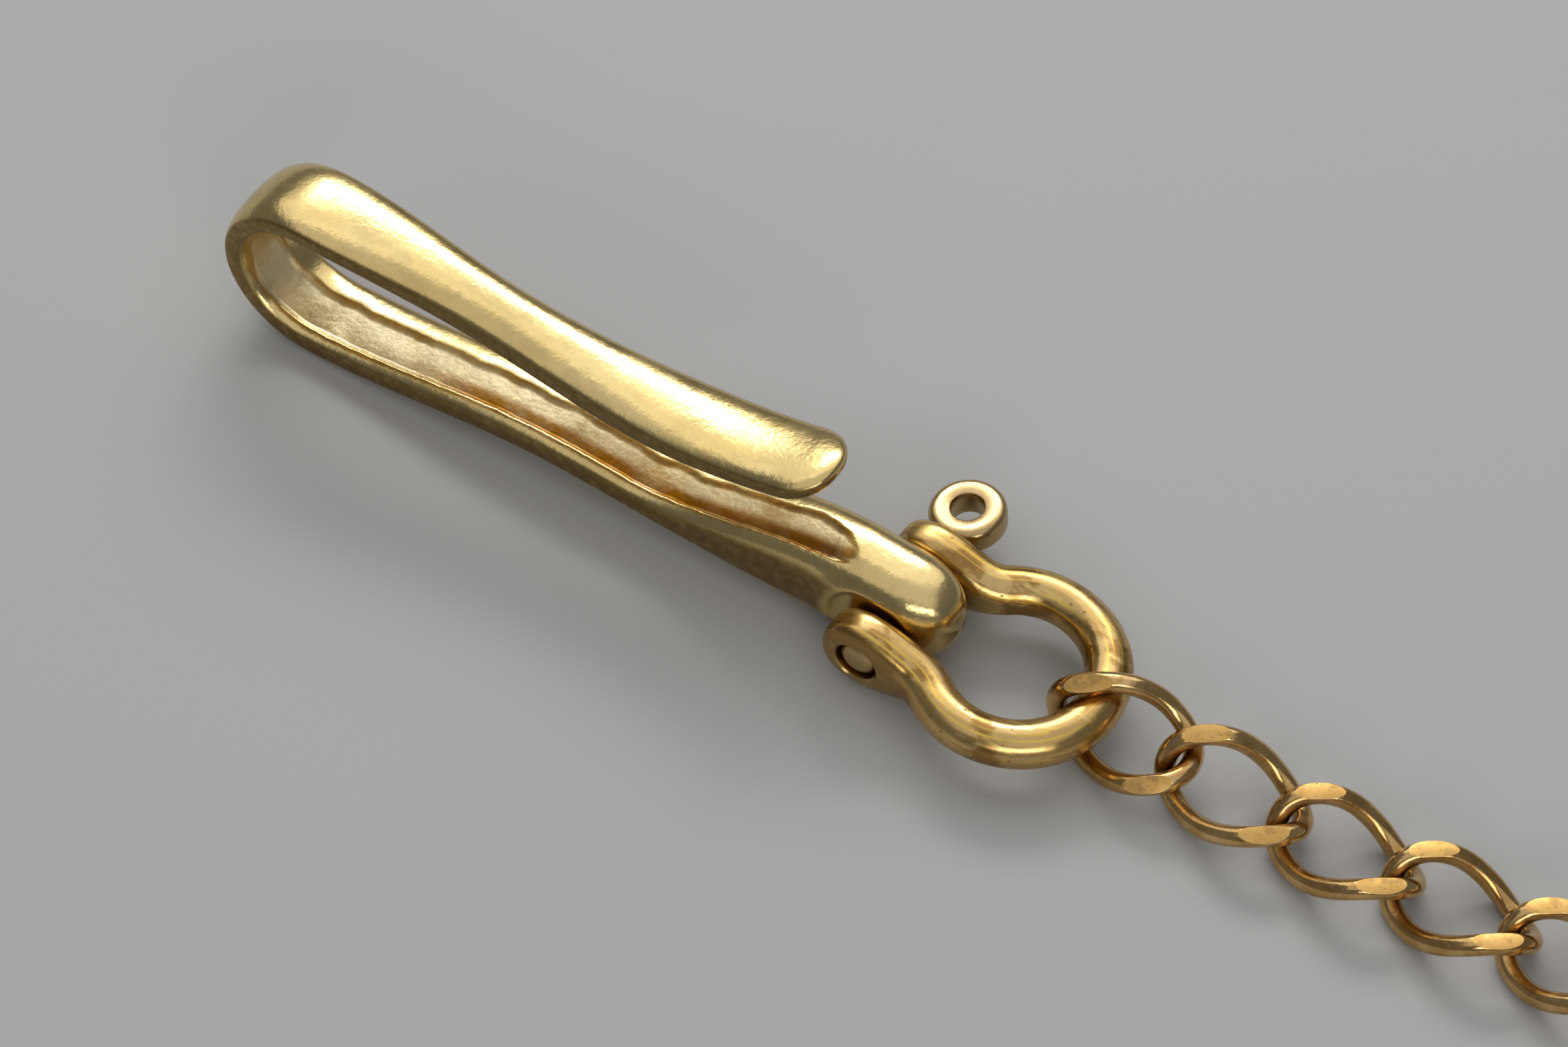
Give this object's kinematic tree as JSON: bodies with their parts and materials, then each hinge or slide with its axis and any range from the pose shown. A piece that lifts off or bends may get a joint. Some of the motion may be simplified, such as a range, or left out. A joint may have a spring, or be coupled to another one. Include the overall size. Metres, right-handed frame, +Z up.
{
  "type": "wallet chain",
  "caption": "Brass wallet chain: a cast fish hook for the belt, a curb chain of twisted and filed links, and a bow shackle with a screw pin at each end.",
  "frame": {"origin": "bottom centre of the whole box, on the table that the chain lies on", "axes": "+Z up from the table; +X along the hook, from its bend to its pin; +Y to the eye end of the hook's shackle pin"},
  "size_m": [0.2446, 0.154, 0.0229],
  "materials": {
    "cast_brass": "polished sand casting with soft highlights, faint pits and scratches",
    "wire_brass": "polished, with small brown tarnish specks",
    "turned_brass": "satin, lathe turned",
    "chain_brass": "antiqued, dark in the recesses, with matt filed flats"
  },
  "bodies": {
    "hook": {"fish_hook": "cast_brass"},
    "shackle": {"shackle": "wire_brass"},
    "pin": {"shackle_pin": "turned_brass"},
    "link_01": {"link_01": "chain_brass"},
    "link_02": {"link_02": "chain_brass"},
    "link_03": {"link_03": "chain_brass"},
    "link_04": {"link_04": "chain_brass"},
    "link_05": {"link_05": "chain_brass"},
    "link_06": {"link_06": "chain_brass"},
    "link_07": {"link_07": "chain_brass"},
    "link_08": {"link_08": "chain_brass"},
    "link_09": {"link_09": "chain_brass"},
    "link_10": {"link_10": "chain_brass"},
    "link_11": {"link_11": "chain_brass"},
    "link_12": {"link_12": "chain_brass"},
    "link_13": {"link_13": "chain_brass"},
    "link_14": {"link_14": "chain_brass"},
    "link_15": {"link_15": "chain_brass"},
    "link_16": {"link_16": "chain_brass"},
    "link_17": {"link_17": "chain_brass"},
    "link_18": {"link_18": "chain_brass"},
    "link_19": {"link_19": "chain_brass"},
    "link_20": {"link_20": "chain_brass"},
    "link_21": {"link_21": "chain_brass"},
    "link_22": {"link_22": "chain_brass"},
    "link_23": {"link_23": "chain_brass"},
    "link_24": {"link_24": "chain_brass"},
    "link_25": {"link_25": "chain_brass"},
    "link_26": {"link_26": "chain_brass"},
    "link_27": {"link_27": "chain_brass"},
    "link_28": {"link_28": "chain_brass"},
    "wallet_shackle": {"wallet_shackle": "wire_brass"},
    "wallet_pin": {"wallet_shackle_pin": "turned_brass"}
  },
  "joints": [
    {"name": "shackle_swing", "type": "hinge", "parent": "hook", "child": "shackle", "pos_m": [-0.03841, 0.05922, 0.00523], "axis": [0, -1, 0], "range_deg": [-110, 100]},
    {"name": "pin_unscrew", "type": "slide", "parent": "shackle", "child": "pin", "axis": [0, 1, 0], "range_m": [0, 0.0185]},
    {"name": "link_01_swing", "type": "hinge", "parent": "shackle", "child": "link_01", "pos_m": [-0.01485, 0.05838, 0.00523], "axis": [0.0872, 0.9962, 0], "range_deg": [-50, 50]},
    {"name": "link_02_yaw", "type": "hinge", "parent": "link_01", "child": "link_02", "pos_m": [-0.00487, 0.05887, 0.00466], "axis": [0.0241, -0.4918, 0.8704], "range_deg": [-17, 12]},
    {"name": "link_03_pitch", "type": "hinge", "parent": "link_02", "child": "link_03", "pos_m": [0.00787, 0.05949, 0.0036], "axis": [-0.0489, 0.9988, 0], "range_deg": [-30, 30]},
    {"name": "link_04_yaw", "type": "hinge", "parent": "link_03", "child": "link_04", "pos_m": [0.02064, 0.06012, 0.00303], "axis": [0, 0, -1], "range_deg": [-30, 30]},
    {"name": "link_05_pitch", "type": "hinge", "parent": "link_04", "child": "link_05", "pos_m": [0.03342, 0.06075, 0.00303], "axis": [0.0489, -0.9988, 0], "range_deg": [-30, 30]},
    {"name": "link_06_yaw", "type": "hinge", "parent": "link_05", "child": "link_06", "pos_m": [0.04621, 0.06137, 0.00303], "axis": [0, 0, 1], "range_deg": [-30, 30]},
    {"name": "link_07_pitch", "type": "hinge", "parent": "link_06", "child": "link_07", "pos_m": [0.05899, 0.062, 0.00303], "axis": [0.1599, 0.9871, 0], "range_deg": [-30, 30]},
    {"name": "link_08_yaw", "type": "hinge", "parent": "link_07", "child": "link_08", "pos_m": [0.07163, 0.05995, 0.00303], "axis": [0, 0, -1], "range_deg": [-42, 18]},
    {"name": "link_09_pitch", "type": "hinge", "parent": "link_08", "child": "link_09", "pos_m": [0.08356, 0.05532, 0.00303], "axis": [-0.5476, -0.8368, 0], "range_deg": [-30, 30]},
    {"name": "link_10_yaw", "type": "hinge", "parent": "link_09", "child": "link_10", "pos_m": [0.09427, 0.04831, 0.00303], "axis": [0, 0, 1], "range_deg": [-18, 42]},
    {"name": "link_11_pitch", "type": "hinge", "parent": "link_10", "child": "link_11", "pos_m": [0.10329, 0.03923, 0.00303], "axis": [0.8406, 0.5417, 0], "range_deg": [-30, 30]},
    {"name": "link_12_yaw", "type": "hinge", "parent": "link_11", "child": "link_12", "pos_m": [0.11023, 0.02847, 0.00303], "axis": [0, 0, -1], "range_deg": [-42, 18]},
    {"name": "link_13_pitch", "type": "hinge", "parent": "link_12", "child": "link_13", "pos_m": [0.11477, 0.0165, 0.00303], "axis": [-0.9882, -0.153, 0], "range_deg": [-30, 30]},
    {"name": "link_14_yaw", "type": "hinge", "parent": "link_13", "child": "link_14", "pos_m": [0.11673, 0.00385, 0.00303], "axis": [0, 0, 1], "range_deg": [-18, 42]},
    {"name": "link_15_pitch", "type": "hinge", "parent": "link_14", "child": "link_15", "pos_m": [0.11602, -0.00893, 0.00303], "axis": [0.965, -0.2622, 0], "range_deg": [-30, 30]},
    {"name": "link_16_yaw", "type": "hinge", "parent": "link_15", "child": "link_16", "pos_m": [0.11266, -0.02128, 0.00303], "axis": [0, 0, -1], "range_deg": [-42, 18]},
    {"name": "link_17_pitch", "type": "hinge", "parent": "link_16", "child": "link_17", "pos_m": [0.10681, -0.03266, 0.00303], "axis": [-0.7749, 0.632, 0], "range_deg": [-30, 30]},
    {"name": "link_18_yaw", "type": "hinge", "parent": "link_17", "child": "link_18", "pos_m": [0.09872, -0.04258, 0.00303], "axis": [0, 0, 1], "range_deg": [-18, 42]},
    {"name": "link_19_pitch", "type": "hinge", "parent": "link_18", "child": "link_19", "pos_m": [0.08874, -0.0506, 0.00303], "axis": [0.4509, -0.8926, 0], "range_deg": [-30, 30]},
    {"name": "link_20_yaw", "type": "hinge", "parent": "link_19", "child": "link_20", "pos_m": [0.07732, -0.05637, 0.00303], "axis": [0, 0, -1], "range_deg": [-42, 18]},
    {"name": "link_21_pitch", "type": "hinge", "parent": "link_20", "child": "link_21", "pos_m": [0.06494, -0.05964, 0.00303], "axis": [-0.0489, 0.9988, 0], "range_deg": [-30, 30]},
    {"name": "link_22_yaw", "type": "hinge", "parent": "link_21", "child": "link_22", "pos_m": [0.05216, -0.06027, 0.00303], "axis": [0, 0, 1], "range_deg": [-30, 30]},
    {"name": "link_23_pitch", "type": "hinge", "parent": "link_22", "child": "link_23", "pos_m": [0.03937, -0.06089, 0.00303], "axis": [0.0489, -0.9988, 0], "range_deg": [-30, 30]},
    {"name": "link_24_yaw", "type": "hinge", "parent": "link_23", "child": "link_24", "pos_m": [0.02659, -0.06152, 0.00303], "axis": [0, 0, -1], "range_deg": [-30, 30]},
    {"name": "link_25_pitch", "type": "hinge", "parent": "link_24", "child": "link_25", "pos_m": [0.0138, -0.06214, 0.00303], "axis": [-0.0489, 0.9988, 0], "range_deg": [-30, 30]},
    {"name": "link_26_yaw", "type": "hinge", "parent": "link_25", "child": "link_26", "pos_m": [0.00102, -0.06277, 0.00303], "axis": [0, 0, 1], "range_deg": [-30, 30]},
    {"name": "link_27_pitch", "type": "hinge", "parent": "link_26", "child": "link_27", "pos_m": [-0.01175, -0.06339, 0.0036], "axis": [0.0489, -0.9988, 0], "range_deg": [-30, 30]},
    {"name": "link_28_yaw", "type": "hinge", "parent": "link_27", "child": "link_28", "pos_m": [-0.02449, -0.06402, 0.00466], "axis": [-0.0241, 0.4918, -0.8704], "range_deg": [-17, 12]},
    {"name": "wallet_shackle_swing", "type": "hinge", "parent": "link_28", "child": "wallet_shackle", "pos_m": [-0.03447, -0.0645, 0.00523], "axis": [-0.0489, 0.9988, 0], "range_deg": [-50, 50]},
    {"name": "wallet_pin_unscrew", "type": "slide", "parent": "wallet_shackle", "child": "wallet_pin", "axis": [-0.0489, 0.9988, 0], "range_m": [0, 0.0185]}
  ]
}
